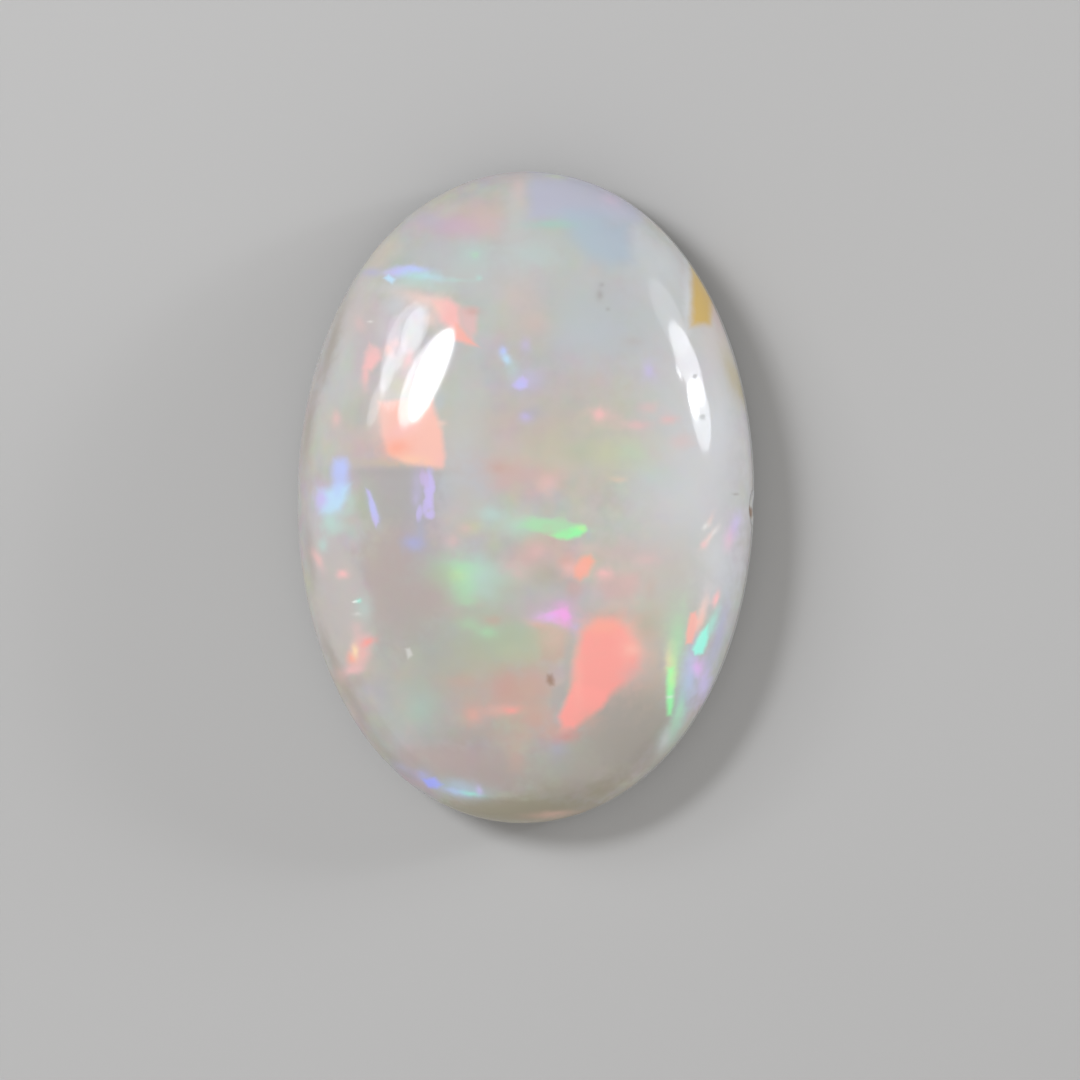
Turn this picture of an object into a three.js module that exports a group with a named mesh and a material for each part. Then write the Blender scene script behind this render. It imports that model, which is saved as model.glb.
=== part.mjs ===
// An oval opal cabochon: one polished stone, lying on its flat back with the dome up.
// Millimetres, +Z up. The origin is the middle of the flat back, and the long axis runs along Y.

import * as THREE from 'three';

// Driving dimensions, in millimetres
const WIDTH = 7.0;
const LENGTH = 10.0;
const BEVEL_HEIGHT = 0.25;
const BEVEL_WIDTH = 0.3;
const WALL_HEIGHT = 0.4;
const DOME_RISE = 1.95;

// The hand-cut outline leaves a true oval by these shares of its radius
const DIAGONAL_LEAN = 0.0055;
const SHOULDER_FULLNESS = 0.006;

// A small chip in the rim on the +X side
const CHIP_Y = -0.15;
const CHIP_Z = 0.6;
const CHIP_HALF_LENGTH = 0.28;
const CHIP_HALF_HEIGHT = 0.36;
const CHIP_DEPTH = 0.07;

// How finely the curves are faceted
const OUTLINE_STEPS = 120;
const DOME_STEPS = 16;

const POLISHED_OPAL = new THREE.MeshStandardMaterial({
  color: 0xc4c4c0,
  roughness: 0.06,
  metalness: 0,
});

// Half of the stone's section, from the middle of the back to the top of the dome.
// The radius is a share of the outline's, and the height is in millimetres.
function sectionProfile() {
  const backEdge = 1 - BEVEL_WIDTH / (WIDTH / 2);
  const wallTop = BEVEL_HEIGHT + WALL_HEIGHT;
  const profile = [
    new THREE.Vector2(0, 0),
    new THREE.Vector2(backEdge, 0),
    new THREE.Vector2(1, BEVEL_HEIGHT),
    new THREE.Vector2(1, wallTop),
  ];
  for (let step = 1; step < DOME_STEPS; step += 1) {
    const angle = (step / DOME_STEPS) * (Math.PI / 2);
    profile.push(new THREE.Vector2(Math.cos(angle), wallTop + DOME_RISE * Math.sin(angle)));
  }
  profile.push(new THREE.Vector2(0, wallTop + DOME_RISE));
  return profile;
}

// How far the outline stands out at an angle from +X, as a share of the plain oval's radius.
function outlineShare(angle) {
  return 1 + DIAGONAL_LEAN * Math.sin(2 * angle) - SHOULDER_FULLNESS * Math.cos(4 * angle);
}

// How deep the chip has cut into the rim at a height z and a place y along the +X side.
function chipDepth(y, z) {
  const along = (y - CHIP_Y) / CHIP_HALF_LENGTH;
  const up = (z - CHIP_Z) / CHIP_HALF_HEIGHT;
  return CHIP_DEPTH * Math.max(0, 1 - along * along - up * up);
}

// Calls change(vertex) on every vertex of a geometry and stores what it leaves there.
function reshape(geometry, change) {
  const position = geometry.attributes.position;
  const vertex = new THREE.Vector3();
  for (let index = 0; index < position.count; index += 1) {
    vertex.fromBufferAttribute(position, index);
    change(vertex);
    position.setXYZ(index, vertex.x, vertex.y, vertex.z);
  }
}

function cabochonGeometry() {
  const geometry = new THREE.LatheGeometry(sectionProfile(), OUTLINE_STEPS);
  geometry.rotateX(Math.PI / 2);
  reshape(geometry, (vertex) => {
    const share = outlineShare(Math.atan2(vertex.y, vertex.x));
    vertex.x *= share;
    vertex.y *= share;
  });

  // The turned form is about 2 across, so this brings it to the real width and length
  geometry.computeBoundingBox();
  const turned = geometry.boundingBox.getSize(new THREE.Vector3());
  geometry.scale(WIDTH / turned.x, LENGTH / turned.y, 1);
  reshape(geometry, (vertex) => {
    if (vertex.x > 0) {
      vertex.x -= chipDepth(vertex.y, vertex.z);
    }
  });
  return geometry;
}

const opal = new THREE.Mesh(cabochonGeometry(), POLISHED_OPAL);
opal.name = 'opal';

const cabochon = new THREE.Group();
cabochon.add(opal);

export default cabochon;
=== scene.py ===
"""A polished oval opal cabochon on a pale floor, seen from above.

The stone is one smooth mesh that stands for the CAD node. Its colours are node materials, one for each
zone of its face and one for its back: a milky body with faint mottling, then soft glows, flashes and
shards of colour laid over each other from back to front. Some of the glows are painted light and shade:
a lighter right side and rim, pale patches by the highlights and darker lines along the rim. Each colour
is also set lighter where the lamps give less light, so that painted light evens out the scene's own
shading.
Places on the face are in millimetres from the middle of the stone's outline, as the camera sees them.
"""
import math
from collections import namedtuple
from functools import cache

import bpy
import numpy as np
from mathutils import Matrix, Vector


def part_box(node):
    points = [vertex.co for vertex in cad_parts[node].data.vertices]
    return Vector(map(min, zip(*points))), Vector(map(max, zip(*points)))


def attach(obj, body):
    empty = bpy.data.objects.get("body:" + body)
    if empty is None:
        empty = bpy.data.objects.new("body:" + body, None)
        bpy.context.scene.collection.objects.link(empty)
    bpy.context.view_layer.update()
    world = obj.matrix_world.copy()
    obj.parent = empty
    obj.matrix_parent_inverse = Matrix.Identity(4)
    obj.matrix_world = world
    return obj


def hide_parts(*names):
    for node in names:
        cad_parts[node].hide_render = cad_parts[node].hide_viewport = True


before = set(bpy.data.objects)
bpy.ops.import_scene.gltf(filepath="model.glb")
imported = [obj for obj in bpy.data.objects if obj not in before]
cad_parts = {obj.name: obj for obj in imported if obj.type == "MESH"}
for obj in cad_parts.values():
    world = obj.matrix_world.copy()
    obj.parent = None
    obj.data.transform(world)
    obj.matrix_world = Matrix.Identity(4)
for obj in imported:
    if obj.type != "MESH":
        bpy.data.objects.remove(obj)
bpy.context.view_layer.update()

MM = 0.001
NODE = "opal"

# The stone's form in millimetres, as the solid has it
node_low, node_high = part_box(NODE)
HALF_WIDTH = (node_high.x - node_low.x) / 2 / MM
HALF_LENGTH = (node_high.y - node_low.y) / 2 / MM
HEIGHT = (node_high.z - node_low.z) / MM
BEVEL_HEIGHT = 0.25
BEVEL_WIDTH = 0.3
WALL_TOP = 0.65
DOME_RISE = HEIGHT - WALL_TOP
DIAGONAL_LEAN = 0.0055
SHOULDER_FULLNESS = 0.006
CHIP_Y = -0.15
CHIP_Z = 0.6
CHIP_HALF_LENGTH = 0.28
CHIP_HALF_HEIGHT = 0.36
CHIP_DEPTH = 0.07

# The rusty skin in the chip: an oval along Y and up Z that fades between two shares of its half size
STAIN_Y = -0.22
STAIN_Z = 0.45
STAIN_HALF_LENGTH = 0.11
STAIN_HALF_HEIGHT = 0.16
STAIN_STRENGTH = 0.85
STAIN_CORE = 0.3
STAIN_EDGE = 1.2

# How finely the mesh follows the form
SEGMENTS = 512
DOME_RINGS = 110
BACK_RINGS = 14
CORNER_RINGS = 6
WALL_RINGS = 10
CORNER_ROUND = 0.08

# Faint waves left by hand polishing: wavelength, direction in degrees and height, in millimetres
POLISH_WAVES = [(1.7, 20, 0.0007), (1.1, 75, 0.0004), (0.8, 130, 0.00025)]

# Noise in the colours: the middle of its values, and layers given by scale per millimetre and strength
NOISE_MIDDLE = 0.5
EDGE_WAVERS = [(3.0, 0.05), (11.0, 0.03)]
BODY_CLOUDS = [(1.3, 0.08), (4.0, 0.05)]

# Grain, which makes an oval of colour larger and smaller from place to place: its scale per millimetre,
# the range of noise that it follows and the range of its own values
GRAIN_SCALE = 6.0
LOW_NOISE = 0.25
HIGH_NOISE = 0.75
LEAST_GRAIN = 0.75
MOST_GRAIN = 1.25

# What is left of a glow at its half size, and how many half sizes it reaches
GLOW_FADE = 0.6
GLOW_REACH = 2.8

# The face is parted along these lines into zones. Each has its own material, with only the markings that
# reach it, so that the stone stays quick to render.
ZONE_X = [-1.1, 1.0]
ZONE_Y = [-3.0, -1.5, 0.2, 2.0]
ZONE_MARGIN = 0.12
Zone = namedtuple("Zone", "left right bottom top")

# The opal's surface: what it mirrors grows with a power of the slant at which it is seen
OPAL_IOR = 1.45
SLANT_POWER = 5
DOME_ROUGHNESS = 0.075
WALL_ROUGHNESS = 0.38
PIT_ROUGHNESS = 0.6

# More light scatters inside the milk than inside a flash, which is told by its stronger colour
MILK_SATURATION = 0.08
FLASH_SATURATION = 0.3
MILK_SCATTER = 0.22
FLASH_SCATTER = 0.04
SCATTER_RADII = (1.0, 0.8, 0.6)
SCATTER_SCALE = 0.9

# The ground back: its clouds, its veins and its grinding scratches, with scales per millimetre
CLOUD_SCALE = 0.7
CLOUD_DETAIL = 5.0
CLOUD_LOW = 0.38
CLOUD_HIGH = 0.62
CLOUD_STRENGTH = 0.5
VEIN_SCALE = 0.5
VEIN_DETAIL = 6.0
VEIN_WIDTH = 0.018
VEIN_STRENGTH = 0.3
SCRATCH_SCALE = 5.0
SCRATCH_DETAIL = 4.0
SCRATCH_CLOSENESS = 9
SCRATCH_STRENGTH = 0.25
SCRATCH_DEPTH = 0.01

# The camera looks down on the dome, leaning a little towards +X
VIEW_LEAN = math.radians(4)
VIEW_RIGHT = Vector((math.cos(VIEW_LEAN), 0, -math.sin(VIEW_LEAN)))
VIEW_UP = Vector((0, 1, 0))
VIEW_BACK = Vector((math.sin(VIEW_LEAN), 0, math.cos(VIEW_LEAN)))
RIM_HEIGHT = 0.45
FRAME_WIDTH = 16.59
AIM_RIGHT = 0.215
AIM_UP = -0.654
LENS = 300
SENSOR = 36
CAMERA_DISTANCE = FRAME_WIDTH * LENS / SENSOR
CAMERA_AIM = Vector((0, 0, RIM_HEIGHT)) + VIEW_RIGHT * AIM_RIGHT + VIEW_UP * AIM_UP
CAMERA_PLACE = CAMERA_AIM + VIEW_BACK * CAMERA_DISTANCE

# Where the camera's view starts and ends, as shares of its distance
CLIP_SHARES = (0.1, 100)

# Rounds in which a line of sight closes in on the dome
SIGHT_ROUNDS = 10

# The light: soft lamps that the dome mirrors, and a fill from all round that is stronger from -Y. Of that
# lean, a matte surface shows a share.
LAMP_DISTANCE = 120
LAMP_COLOUR = (0.95, 0.98, 1.04)
FILL_STRENGTH = 0.55
FILL_LEAN = 0.40
MATTE_LEAN_SHARE = 2 / 3
FLOOR_COLOUR = (0.40, 0.39, 0.375)
FLOOR_ROUGHNESS = 0.8
FLOOR_HALF = 600
FLOOR_LIGHT = 0.42

# A lamp is given by its highlight on the face: the two ends, the width and how bright it is
Lamp = namedtuple("Lamp", "name start end width radiance")
Panel = namedtuple("Panel", "spot along across")

LAMPS = [
    Lamp("left_leaf", (-1.98, 1.22), (-1.18, 2.56), 0.41, 12),
    Lamp("left_leaf_bright_side", (-1.79, 1.27), (-1.13, 2.61), 0.36, 26),
    Lamp("left_mist", (-2.12, 1.44), (-1.74, 3.08), 0.52, 4.5),
    Lamp("left_veil", (-1.80, 2.24), (-1.61, 2.96), 0.35, 6),
    Lamp("left_veil_foot", (-1.98, 1.96), (-1.87, 2.42), 0.13, 5),
    Lamp("left_veil_arm", (-1.98, 2.32), (-2.08, 2.76), 0.18, 2.5),
    Lamp("left_streak", (-2.18, 1.62), (-2.06, 2.26), 0.18, 6),
    Lamp("left_tail", (-2.44, 1.14), (-2.18, 1.76), 0.15, 4),
    Lamp("right_wash", (2.40, 2.25), (2.00, 3.40), 0.34, 2),
    Lamp("right_upper_streak", (2.77, 1.60), (2.21, 2.61), 0.27, 8),
    Lamp("right_lower_streak", (2.79, 0.74), (2.59, 1.92), 0.28, 7),
    Lamp("right_spark", (2.385, 1.82), (2.31, 2.04), 0.04, 20),
    Lamp("right_core", (2.61, 1.24), (2.53, 1.74), 0.13, 45),
]

# Colours as they show on the stone, in sRGB
MILK = (194, 191, 186)
# Painted light: a lighter, cooler white laid where the lamps light the right side and rim, and round the
# highlights
PAINTED_LIGHT = (210, 212, 216)
PALE = (201, 203, 204)
PEARL = (199, 191, 189)
SILVER = (191, 196, 197)
GREY = (180, 176, 175)
COOL_GREY = (173, 177, 168)
WARM_GREY = (165, 159, 151)
PALE_BLUE = (192, 198, 206)
TAN = (200, 189, 172)
ROSE_GREY = (186, 169, 167)
DUSK = (179, 160, 156)
CREAM = (148, 142, 126)
OLIVE = (186, 179, 162)
YELLOW_GREEN = (203, 207, 168)
SAGE = (178, 190, 164)
MINT = (176, 228, 182)
LIME = (206, 242, 170)
GREEN = (158, 255, 176)
PALE_TEAL = (191, 216, 210)
TEAL = (168, 204, 194)
CYAN = (165, 250, 231)
ICE = (195, 229, 253)
SKY = (176, 192, 206)
BLUE = (192, 204, 254)
DEEP_BLUE = (166, 171, 252)
LAVENDER = (206, 193, 243)
GREY_LAVENDER = (180, 181, 197)
VIOLET = (177, 177, 213)
MAUVE = (203, 178, 198)
MAGENTA = (252, 173, 239)
LILAC = (236, 187, 247)
PINK = (228, 192, 191)
DUSTY_PINK = (211, 180, 176)
ROSE = (250, 196, 195)
BLUSH = (240, 213, 206)
CORAL = (254, 199, 185)
SALMON = (254, 184, 172)
PEACH = (252, 214, 200)
APRICOT = (255, 208, 178)
ORANGE = (254, 180, 160)
RED = (255, 167, 159)
TAN_PINK = (224, 188, 178)
CLAY = (206, 169, 157)
RUST = (206, 154, 149)
YELLOW = (255, 226, 186)
OCHRE = (194, 165, 100)
STRAW = (178, 168, 142)
BROWN = (148, 116, 92)
SPECK = (166, 162, 159)
WHITE = (238, 238, 236)

# An oval of colour: its middle and half sizes, how soft its edge is (0 crisp to 1 all soft), its colour,
# how strongly it shows and its turn in degrees
Flash = namedtuple("Flash", "x y half_length half_width edge colour strength turn", defaults=[0])

# An oval of colour that fades out all the way from its middle
Glow = namedtuple("Glow", "x y half_length half_width colour strength turn", defaults=[0])

# A flat-sided patch of colour: its corners in order round it, the width of its soft edge, its colour and
# how strongly it shows
Shard = namedtuple("Shard", "corners edge colour strength")

# The markings of each part of the face, from back to front. Some of them are painted light and shade: the
# lighter right side and rim, pale patches by the highlights and darker lines along the rim.
BROAD_ZONES = [
    # Painted light: a lighter right side and right rim where the right lamps fall, and a pale wash by the
    # upper right highlight
    Glow(2.55, 0.5, 0.8, 2.4, PAINTED_LIGHT, 0.7, -4),
    Glow(2.95, 0.4, 0.4, 1.6, PAINTED_LIGHT, 0.45),
    Glow(2.95, 1.05, 0.16, 0.4, PAINTED_LIGHT, 0.6),
    Glow(2.08, 3.55, 0.26, 0.34, PAINTED_LIGHT, 0.6, 25),
    Glow(2.05, 3.1, 0.35, 0.8, PAINTED_LIGHT, 0.4, 12),
    Glow(1, 2.9, 1, 0.75, SILVER, 0.8),
    Glow(-0.75, 3.5, 0.6, 0.45, SILVER, 0.7),
    Glow(-0.85, 3.42, 0.35, 0.25, PALE, 0.4),
    Glow(-1.5, 3.78, 0.35, 0.18, SILVER, 0.6),
    Glow(-2.85, 1.9, 0.35, 1, PALE, 0.5, -12),
    # Painted shade: a darker line along the upper left rim
    Glow(-2.95, 2.45, 0.07, 0.6, WARM_GREY, 0.9, -17),
    Glow(-0.95, 0.6, 0.28, 0.65, PALE, 0.95),
    Glow(-0.74, 0.38, 0.22, 0.3, PALE_BLUE, 0.75),
    Glow(-1.3, 0.12, 0.12, 0.3, PALE_BLUE, 0.5),
    Glow(-0.95, 1.85, 0.3, 0.45, PALE, 0.45),
    Glow(0.3, 1.1, 0.95, 0.45, TAN, 0.6),
    Glow(0.15, 2.7, 0.25, 0.35, TAN, 0.35),
    Glow(0.15, 2.68, 0.14, 0.13, TAN_PINK, 0.3),
    Glow(-0.12, 3.08, 0.2, 0.24, PINK, 0.3),
    Glow(1.1, 2.5, 0.45, 0.3, PALE_BLUE, 0.6, -10),
    Glow(1.95, 0.33, 0.22, 0.12, PALE_TEAL, 0.35),
    Glow(1.25, 0.62, 0.6, 0.3, YELLOW_GREEN, 0.35),
    Flash(-1.95, -1.25, 0.45, 0.75, 0.8, ROSE_GREY, 0.85),
    Flash(-1.98, 0.05, 0.5, 0.4, 0.6, GREY, 0.8),
    Shard(((-3.45, 0), (-3, -0.55), (-2.55, -1.15), (-2.38, -1.6), (-2.34, -2.5), (-2.6, -2.8),
           (-3.2, -2.2)), 0.09, PEARL, 0.7),
    Glow(-1.3, -2.5, 0.7, 0.8, COOL_GREY, 0.7),
    Glow(-0.3, -3, 0.6, 0.4, CLAY, 0.45),
    Flash(1.55, -3.4, 0.6, 0.6, 0.6, WARM_GREY, 0.9, -20),
    Flash(1, -4, 0.7, 0.4, 0.7, WARM_GREY, 0.7, 15),
    Flash(-0.1, -4.84, 1.2, 0.17, 0.7, CREAM, 0.95),
    Flash(-0.7, -4.15, 0.7, 0.25, 0.8, DUSK, 0.7, -5),
    Glow(-1.35, -3.95, 0.3, 0.13, ROSE_GREY, 0.6, -15),
    Glow(-0.9, -3.66, 0.5, 0.15, WARM_GREY, 0.45),
    Glow(0.3, -4.2, 0.3, 0.25, COOL_GREY, 0.4),
    Glow(2.2, -1.15, 0.4, 0.5, TAN, 0.4),
    # Painted shade: a darker line along the left rim
    Glow(-3.36, 0.8, 0.07, 0.45, DUSK, 0.35, -6),
    Glow(-2.05, -3.45, 0.2, 0.4, SILVER, 0.4, 10),
    Glow(-2.5, -2.96, 0.14, 0.12, GREY_LAVENDER, 0.4, 30),
    Glow(1.9, -1.95, 0.3, 0.3, SAGE, 0.4),
    Glow(1.95, -2.6, 0.16, 0.4, OLIVE, 0.5),
    # Painted shade: darker lines along the rim on the left and at the lower corners
    Glow(-3.33, 1.15, 0.05, 0.4, WARM_GREY, 0.6, -10),
    Glow(-3.32, -0.85, 0.05, 0.4, WARM_GREY, 0.5, 7),
    Glow(-2.98, -2.45, 0.06, 0.35, WARM_GREY, 0.6, 22),
    Glow(-2.66, -3.1, 0.06, 0.35, WARM_GREY, 0.5, 30),
    Glow(-2.02, -4.05, 0.06, 0.3, WARM_GREY, 0.6, 45),
    Glow(1.98, -4.02, 0.06, 0.3, WARM_GREY, 0.5, -45),
]

TOP_EDGE = [
    Shard(((-1.75, 4.2), (-1.1, 4.01), (-0.42, 3.98), (-0.28, 4.35), (-0.45, 4.66), (-1.5, 4.42)),
          0.14, DUSTY_PINK, 0.3),
    Glow(-1.1, 4.18, 0.34, 0.12, MAUVE, 0.7, -8),
    Glow(-1.52, 4.26, 0.2, 0.1, GREY_LAVENDER, 0.5, -8),
    Glow(-0.6, 4.25, 0.3, 0.22, DUSTY_PINK, 0.35),
    Glow(-0.15, 4.3, 0.14, 0.4, PALE, 0.5),
    Glow(-0.08, 4.72, 0.11, 0.15, PINK, 0.35),
    Glow(0.4, 3.95, 0.45, 0.22, SILVER, 0.6),
    Glow(-0.12, 3.75, 0.26, 0.35, PALE, 0.4),
    Shard(((0.03, 4.28), (0.03, 5.1), (1, 5), (1.8, 4.45), (1.75, 4.22)),
          0.15, GREY_LAVENDER, 0.95),
    Glow(0, 4.93, 0.5, 0.05, GREY, 0.5),
    Shard(((0.68, 4.34), (1.6, 4.24), (1.64, 3.62), (1.3, 3.54), (0.95, 3.7), (0.66, 4.02)),
          0.18, SKY, 0.8),
    Glow(0.8, 4.32, 0.35, 0.1, SKY, 0.5),
    Glow(1.52, 4.42, 0.22, 0.1, GREY_LAVENDER, 0.5, -36),
    Glow(1.3, 4.58, 0.12, 0.07, MAUVE, 0.35, -25),
    Glow(1.75, 4, 0.12, 0.24, PALE_BLUE, 0.5),
    Glow(0.4, 4.19, 0.26, 0.05, TEAL, 0.7),
    Glow(0.15, 3.7, 0.3, 0.13, PALE_TEAL, 0.4),
    Glow(0.45, 4.93, 0.1, 0.03, SAGE, 0.5, -6),
    Glow(-2.2, 3.76, 0.24, 0.13, TAN, 0.5, 50),
    Glow(-0.78, 3.74, 0.16, 0.14, PALE_TEAL, 0.5),
    Glow(-0.78, 3.72, 0.05, 0.04, MINT, 0.35),
    Glow(-0.72, 3.37, 0.042, 0.03, PALE_TEAL, 0.95, -8),
]

UPPER_LEFT_STREAK = [
    Glow(-2.38, 3.46, 0.12, 0.05, VIOLET, 0.6),
    Shard(((-2.2, 3.45), (-1.9, 3.54), (-1.62, 3.55), (-1.45, 3.47), (-1.55, 3.33), (-2.05, 3.34)),
          0.035, PALE_BLUE, 0.75),
    Glow(-1.98, 3.46, 0.15, 0.05, LAVENDER, 0.8, 10),
    Glow(-1.9, 3.47, 0.12, 0.045, BLUE, 0.5, 8),
    Glow(-1.72, 3.51, 0.14, 0.035, BLUE, 0.8, -4),
    Glow(-1.64, 3.4, 0.2, 0.05, CYAN, 0.35, -4),
    Glow(-1.8, 3.29, 0.26, 0.06, PALE_TEAL, 0.6, 4),
    Glow(-1.5, 3.23, 0.24, 0.07, PALE_TEAL, 0.5, -8),
    Glow(-1.46, 3.39, 0.18, 0.05, ICE, 0.4, -14),
    Glow(-1.1, 3.335, 0.16, 0.022, PALE_TEAL, 0.6),
    Shard(((-2.19, 3.36), (-2.11, 3.41), (-2.01, 3.35), (-2.06, 3.27)), 0.03, ICE, 0.95),
]

UPPER_LEFT_SALMON = [
    Glow(-1.88, 3.15, 0.2, 0.06, BLUSH, 0.4, -8),
    Glow(-2.05, 3.2, 0.35, 0.08, PALE, 0.5),
    Glow(-1.55, 3.04, 0.24, 0.07, BLUSH, 0.85, -8),
    Shard(((-1.42, 3.02), (-1.2, 3.04), (-1.04, 2.93), (-1.01, 2.66), (-1.1, 2.58), (-1.32, 2.72)),
          0.07, ROSE, 0.95),
    Shard(((-1.1, 2.68), (-1, 2.64), (-0.86, 2.47), (-0.72, 2.33), (-0.88, 2.36), (-1.1, 2.42)),
          0.05, SALMON, 0.9),
    Glow(-1.16, 2.74, 0.08, 0.14, SALMON, 0.35),
    Glow(-1.36, 2.92, 0.1, 0.1, PEACH, 0.5),
    Shard(((-1.04, 2.92), (-0.76, 2.9), (-0.76, 2.55), (-0.84, 2.46), (-1, 2.6)), 0.07, PINK, 0.9),
    Glow(-0.82, 2.86, 0.09, 0.05, CLAY, 0.5),
    Glow(-1.44, 2.74, 0.08, 0.1, BLUSH, 0.6),
    Shard(((-2.4, 2.36), (-2.25, 2.28), (-2.22, 2.14), (-2.36, 1.95), (-2.5, 1.98), (-2.48, 2.22)),
          0.06, ROSE, 0.95),
    Glow(-2.46, 1.88, 0.05, 0.14, ROSE, 0.75, -4),
    # Painted light: paler patches in the soft glare round the left highlight
    Glow(-2.2, 2.6, 0.1, 0.25, PAINTED_LIGHT, 0.5),
    Glow(-1.97, 2.95, 0.14, 0.12, PAINTED_LIGHT, 0.7),
    Glow(-2.1, 2.27, 0.06, 0.07, CORAL, 0.6),
    Glow(-2, 2.36, 0.05, 0.06, ROSE, 0.4),
    Glow(-1.81, 2.12, 0.05, 0.1, ROSE, 0.6, -25),
    Glow(-2.58, 2.05, 0.06, 0.2, MAUVE, 0.4),
    Glow(-2.58, 2.72, 0.2, 0.34, PEARL, 0.8),
    Glow(-2.55, 2.66, 0.06, 0.09, PINK, 0.4),
]

SALMON_BLOCK = [
    Glow(-2.6, 0.78, 0.28, 0.2, DUSTY_PINK, 0.45),
    Glow(-2.92, 1.22, 0.05, 0.08, ROSE, 0.5),
    Glow(-2.6, 1.35, 0.26, 0.18, SAGE, 0.3),
    Glow(-2.2, 0.53, 0.4, 0.05, TAN, 0.7, -3),
    Shard(((-2.26, 1.46), (-1.44, 1.52), (-1.3, 1.05), (-1.24, 0.62), (-1.3, 0.46), (-1.42, 0.45),
           (-1.86, 0.53), (-2.12, 0.68), (-2.22, 0.95)), 0.065, CORAL, 0.96),
    Glow(-2.23, 1.25, 0.1, 0.3, BLUSH, 0.45),
    Glow(-1.98, 0.76, 0.15, 0.11, ORANGE, 0.9, 15),
    Glow(-1.92, 1.03, 0.18, 0.08, ROSE, 0.5, 25),
    Glow(-1.7, 0.57, 0.18, 0.06, APRICOT, 0.7, -8),
    Glow(-1.29, 1.13, 0.06, 0.04, PEACH, 0.5),
    Glow(-1.32, 1.46, 0.07, 0.1, PALE_BLUE, 0.5, -30),
    Glow(-1.34, 0.55, 0.06, 0.07, ROSE, 0.35),
    Glow(-2.05, 0.38, 0.5, 0.05, GREY, 0.8),
]

LEFT_BLUE = [
    Shard(((-2.94, 0.59), (-2.78, 0.58), (-2.73, 0.46), (-2.74, 0.08), (-2.95, 0.08), (-2.98, 0.36)),
          0.09, BLUE, 0.8),
    Glow(-2.83, 0.46, 0.07, 0.09, BLUE, 0.6),
    Shard(((-3.16, 0.1), (-2.86, 0.18), (-2.73, 0.17), (-2.74, -0.02), (-2.86, -0.2), (-3.02, -0.3),
           (-3.16, -0.24)), 0.1, ICE, 0.92),
    Glow(-3.15, -0.02, 0.07, 0.13, LAVENDER, 0.85),
    Glow(-2.9, 0.1, 0.06, 0.1, BLUE, 0.4),
    Glow(-3, -0.38, 0.11, 0.11, PALE_TEAL, 0.95),
    Glow(-2.9, -0.47, 0.14, 0.07, PALE_TEAL, 0.4),
    Glow(-2.68, -0.08, 0.07, 0.12, PALE_TEAL, 0.7),
    Glow(-2.76, -0.22, 0.07, 0.05, PALE_TEAL, 0.5, 15),
    Glow(-2.5, -0.14, 0.13, 0.24, SAGE, 0.6),
    Glow(-3.12, -0.74, 0.06, 0.08, PALE_TEAL, 0.75),
    Glow(-3.2, -0.95, 0.045, 0.12, ROSE, 0.55, 28),
    Glow(-2.82, -1.18, 0.06, 0.045, ROSE, 0.85),
    Shard(((-2.45, 0.13), (-2.4, 0.1), (-2.28, -0.22), (-2.26, -0.37), (-2.3, -0.45), (-2.36, -0.34)),
          0.028, LAVENDER, 0.8),
    Glow(-2.34, -0.18, 0.04, 0.16, BLUE, 0.6, 18),
]

LAVENDER_STREAK = [
    Glow(-1.62, -0.35, 0.14, 0.4, GREY_LAVENDER, 0.45),
    Glow(-1.66, 0.22, 0.07, 0.16, LAVENDER, 0.3),
    Flash(-1.48, 0.14, 0.062, 0.25, 0.6, LAVENDER, 0.95, 2),
    Flash(-1.565, 0.29, 0.055, 0.11, 0.7, MAUVE, 0.55, 8),
    Flash(-1.565, 0.27, 0.05, 0.1, 0.7, LAVENDER, 0.5, 8),
    Flash(-1.53, -0.12, 0.045, 0.12, 0.7, LAVENDER, 0.8, -20),
    Flash(-1.64, -0.24, 0.038, 0.09, 0.7, LAVENDER, 0.85, -6),
    Flash(-1.48, -0.26, 0.06, 0.055, 0.7, LAVENDER, 0.85),
    Glow(-1.69, -0.03, 0.05, 0.08, LAVENDER, 0.3),
    Glow(-1.62, -0.5, 0.04, 0.2, GREY_LAVENDER, 0.6),
    Glow(-1.72, -0.69, 0.11, 0.085, VIOLET, 0.95, 10),
]

LOWER_LEFT_RIM = [
    Glow(-2.5, -1.7, 0.1, 0.14, PALE_TEAL, 0.5),
    Shard(((-2.7, -2.38), (-2.62, -2.08), (-2.4, -2.1), (-2.4, -2.42), (-2.54, -2.65), (-2.74, -2.7)),
          0.09, PINK, 0.75),
    Glow(-2.43, -2.22, 0.085, 0.045, RED, 0.85, 25),
    Glow(-2.52, -2.4, 0.09, 0.12, SALMON, 0.4),
    Glow(-2.67, -2.47, 0.05, 0.06, ORANGE, 0.8),
    Glow(-2.62, -2.36, 0.035, 0.075, YELLOW, 0.85, 8),
    Glow(-2.66, -2.66, 0.11, 0.045, ROSE, 0.6, 10),
    Glow(-2.62, -2.84, 0.14, 0.1, DUSK, 0.35, 20),
    Glow(-2.86, -2.74, 0.06, 0.11, DUSTY_PINK, 0.5, 30),
    Glow(-2.6, -2, 0.07, 0.07, PINK, 0.5),
    Glow(-2.59, -1.79, 0.045, 0.02, WHITE, 0.35),
    Shard(((-2.67, -1.6), (-2.6, -1.575), (-2.56, -1.57), (-2.6, -1.61), (-2.64, -1.62)),
          0.015, WHITE, 1),
    Glow(-2.565, -1.58, 0.035, 0.022, CYAN, 0.6, 20),
    Shard(((-1.86, -2.34), (-1.8, -2.32), (-1.74, -2.42), (-1.81, -2.48)), 0.03, WHITE, 0.5),
]

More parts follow.
